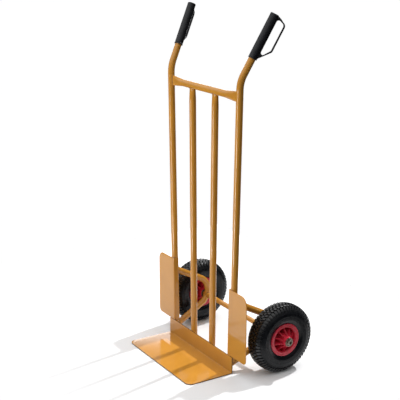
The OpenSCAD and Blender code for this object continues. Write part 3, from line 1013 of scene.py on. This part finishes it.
def rim_shells(hub_len):
    """Half a rim: flange, barrel, web, hub and its ribs, local Z outward from the joint."""
    outline = [(15.5, 0), (50.8, 0), (50.8, 30.5), (62, 30.5), (62, 34.5), (56.8, 34.5),
               (55.4, 33.3), (48.6, 33.3), (45.6, 29.5), (43.6, 4), (22.6, 4),
               (19.2, hub_len), (15.5, hub_len)]
    radii = [0.3, 0.6, 1.2, 1.4, 1.9, 1.0, 0.8, 2.2, 2.6, 2.0, 2.0, 1.2, 0.8]
    shells = [lathe(in_metres(rounded(outline, radii)), 120)]
    rib_start, rib_end = 20.8, 45.4
    rib_high, rib_low = hub_len - 8, 27.5
    base, tip = 1.7, 1.15  # half a rib's thickness where it stands and on top
    for angle in turns(10):
        turn = Matrix.Rotation(angle, 4, "Z")
        sections = []
        for t in np.linspace(0, 1, 9):
            r = rib_start + (rib_end - rib_start) * t
            top = rib_high + (rib_low - rib_high) * (1 - (1 - t) ** 1.35)
            section = [(-base, 3), (-tip - 0.05, top - 1.0), (-tip + 0.55, top),
                       (tip - 0.55, top), (tip + 0.05, top - 1.0), (base, 3)]
            sections.append(moved(turn, in_metres((r, y, z) for y, z in section)))
        shells.append(loft(sections))
    return joined(shells)


def split_pin_shell():
    """A split pin beside the washer: an eye above the axle, two legs bent apart below it."""
    wire = 0.95 * MM
    along = HUB_OUT + HUB_GAP + WASHER_T + 2 * wire + 0.5 * MM
    eye_r = 3.4 * MM
    eye_h = AXLE_R + 5.6 * MM
    leg = [(-AXLE_R - 1.5 * MM, wire), (0, wire), (AXLE_R + 1.0 * MM, wire),
           (AXLE_R + 2.6 * MM, 1.5 * MM), (AXLE_R + 3.6 * MM, 3.4 * MM),
           (AXLE_R + 3.0 * MM, 6.2 * MM), (AXLE_R + 1.6 * MM, 8.4 * MM)]
    eye = [(-(eye_h + eye_r * cos(t)), eye_r * sin(t))
           for t in map(radians, range(-150, 151, 15))]
    line = [(x, -y) for x, y in reversed(leg)] + eye + leg
    return sweep([(x, y, along) for x, y in line], wire, (0, 0, 1), 14)


def washer_shell(low, high):
    """A washer on the axle between two heights, its edges broken."""
    edge = 0.35 * MM
    bore = AXLE_R + 0.06 * MM
    return lathe([(bore, low + edge), (bore + edge, low), (WASHER_R - edge, low),
                  (WASHER_R, low + edge), (WASHER_R, high - edge), (WASHER_R - edge, high),
                  (bore + edge, high), (bore, high - edge)], 72)


def valve_cap_shell():
    """A small ribbed cap on the end of the valve stem."""
    rows = [(0.01, 0), (3.2, 0), (4.0, 0.5), (4.0, 3.4), (3.3, 4.0), (0.01, 4.0)]

    def ribbed(r, z, a):
        in_groove = r > 3.9 * MM and round(36 * a / pi) // 3 % 2
        return r - 0.3 * MM if in_groove else r

    return lathe(in_metres(rows), 72, False, ribbed)


def valve_place():
    """Where the cap sits in a wheel: on the stem, which leans out from the rim's barrel."""
    return (Matrix.Rotation(radians(54), 4, "Z") @ Matrix.Translation((55 * MM, 0, 6 * MM))
            @ Matrix.Rotation(radians(44 - 90), 4, "Y")
            @ Matrix.Translation((0, 0, 34.1 * MM)))


def on_tread(centre):
    """Whether a face's centre lies out where the tread blocks stand."""
    return hypot(centre.y - AXLE_Y, centre.z - AXLE_Z) > 113 * MM


def build_wheels():
    """Both wheels, and the washers and split pins that hold them on the axle."""
    as_is, flip = Matrix.Identity(4), Matrix.Scale(-1, 4, (0, 0, 1))
    out, back = HUB_OUT + HUB_GAP, -HUB_IN - HUB_GAP
    wheel_parts = (
        ("tread_tyre", "tyre", tyre_shells(), as_is, TYRE, "tyre_rubber", 34, (TREAD, on_tread)),
        ("rim_face", "rim_outer_half", rim_shells(56), as_is, RIM, "rim_plastic", 34, None),
        ("rim_back", "rim_inner_half", rim_shells(45.5), flip, RIM, "rim_plastic", 34, None),
        ("ribbed_cap", "valve_cap", valve_cap_shell(), valve_place(), GRIP, "cap_plastic", 40,
         None))
    axle_parts = (
        ("cotter", "split_pin", split_pin_shell(), 60),
        ("washer_out", "outer_washer", washer_shell(out, out + WASHER_T), 32),
        ("washer_in", "inner_washer", washer_shell(back - WASHER_T + 0.1 * MM, back), 32))
    for name, side in SIDES.items():
        place = on_wheel(side)
        for part, node, (verts, faces), local, material, slot, sharp, extra in wheel_parts:
            add_piece(name + "_" + part, moved(place @ local, verts), faces, material, slot,
                      name + "_wheel", [name + "_" + node], sharp, extra)
        for part, node, (verts, faces), sharp in axle_parts:
            add_piece(name + "_" + part, moved(place, verts), faces, ZINC, "zinc_steel", "frame",
                      [name + "_" + node], sharp)


def dress_cad_nodes():
    """A finish for each CAD node whose own shape stays."""
    kept = {"inner_tube": (TUBE, "tube_rubber"), "rim_bolts": (ZINC, "zinc_steel"),
            "hub_sleeve": (BEARING, "bearing_steel"), "roller_cage": (NYLON, "cage_nylon"),
            "rollers": (BEARING, "bearing_steel")}
    for name in SIDES:
        for part, (material, slot) in kept.items():
            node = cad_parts[name + "_" + part]
            node.data.materials.clear()
            node.data.materials.append(material)


build_frame_tubes()
build_axle()
build_toe_plate()
for guard_name, guard_side in SIDES.items():
    build_wheel_guard(guard_name, guard_side)
build_welds()
build_grips()
build_wheels()
dress_cad_nodes()


# ---- floor, light and camera

def build_floor():
    """A sheet of white floor: long in front, and ending close behind the truck."""
    left, right, front, back = -1.35, 0.56, -5.0, 0.9
    z = -0.3 * MM
    mesh = bpy.data.meshes.new("studio_floor")
    mesh.from_pydata([(left, front, z), (right, front, z), (right, back, z), (left, back, z)],
                     [], [(0, 1, 2, 3)])
    white = Nodes("white_floor", Base_Color=(0.80, 0.80, 0.805, 1), Roughness=0.9,
                  Specular_IOR_Level=0.1)
    mesh.materials.append(white.material)
    floor = bpy.data.objects.new("studio_floor", mesh)
    show(floor)


def build_world(bright, dim, backdrop):
    """White to the camera; as light, a broad glow from above, dim round the sides and below."""
    world = bpy.data.worlds.new("studio")
    bpy.context.scene.world = world
    world.use_nodes = True
    tree = world.node_tree
    tree.nodes.clear()
    place = add_node(tree, "ShaderNodeTexCoord")
    glow_middle = Vector((-0.15, -0.22, 0.96)).normalized()
    toward = add_node(tree, "ShaderNodeVectorMath", {"operation": "DOT_PRODUCT"},
                      {0: place.outputs["Generated"], 1: glow_middle})
    glow_edge, glow_full = 0.15, 0.95  # cosines of the angle from the glow's middle
    level = add_node(tree, "ShaderNodeMapRange", {"interpolation_type": "SMOOTHSTEP"}, {
        "Value": toward.outputs["Value"], "From Min": glow_edge, "From Max": glow_full,
        "To Min": dim, "To Max": bright})
    light = add_node(tree, "ShaderNodeBackground", inputs={"Strength": level.outputs["Result"]})
    seen = add_node(tree, "ShaderNodeBackground", inputs={"Strength": backdrop})
    ray = add_node(tree, "ShaderNodeLightPath")
    mix = add_node(tree, "ShaderNodeMixShader", inputs={
        0: ray.outputs["Is Camera Ray"], 1: light.outputs[0], 2: seen.outputs[0]})
    add_node(tree, "ShaderNodeOutputWorld", inputs={"Surface": mix.outputs[0]})


def add_light(name, kind, energy, aim_from, aim_at, **settings):
    """A light at aim_from that shines toward aim_at; energy is in its kind's own unit."""
    data = bpy.data.lights.new(name, kind)
    data.energy = energy
    for key, value in settings.items():
        setattr(data, key, value)
    light = bpy.data.objects.new(name, data)
    light.location = aim_from
    light.rotation_mode = "QUATERNION"
    light.rotation_quaternion = (Vector(aim_at) - Vector(aim_from)).to_track_quat("-Z", "Y")
    show(light)


def build_lights():
    """A key from behind, cards on the floor that face up, and a card at the rear left."""
    elevation, turn = radians(51), radians(11.5)
    toward = Vector((-sin(turn) * cos(elevation), cos(turn) * cos(elevation),
                     sin(elevation)))
    add_light("rear_key", "SUN", 2.7, toward * 6, (0, 0, 0), angle=radians(2.6))
    floor_cards = (("near", 26, 0.2, -1.9, 0.3, 1.6), ("far", 50, 0.2, -3.5, 0.55, 1.6),
                   ("left", 130, -0.9, -5.9, 0.9, 3.2))
    for name, watts, x, y, width, length in floor_cards:
        add_light(name + "_floor_card", "AREA", watts, (x, y, 0.01), (x, y, 1),
                  shape="RECTANGLE", size=width, size_y=length)
    add_light("rear_left_card", "AREA", 18, (-3.3, 2.1, 1.2), (0, 0, 0), shape="RECTANGLE",
              size=1.6, size_y=1.0)


def build_camera():
    """A long lens from the right and above, rolled by a tenth of a degree."""
    data = bpy.data.cameras.new("camera")
    data.sensor_width = 36
    data.lens = 86.374
    data.clip_end = 200
    camera = bpy.data.objects.new("camera", data)
    camera.location = (2.87758, FRAME_Y - 1.81163, 1.57056)
    camera.rotation_mode = "QUATERNION"
    aim = Vector((-0.8160, 0.50948, -0.27308)).to_track_quat("-Z", "Y")
    camera.rotation_quaternion = aim @ Quaternion((0, 0, 1), radians(0.1))
    show(camera)
    bpy.context.scene.camera = camera


build_floor()
build_world(bright=1.95, dim=0.05, backdrop=1.26)
build_lights()
build_camera()
bpy.context.scene.view_settings.view_transform = "Standard"
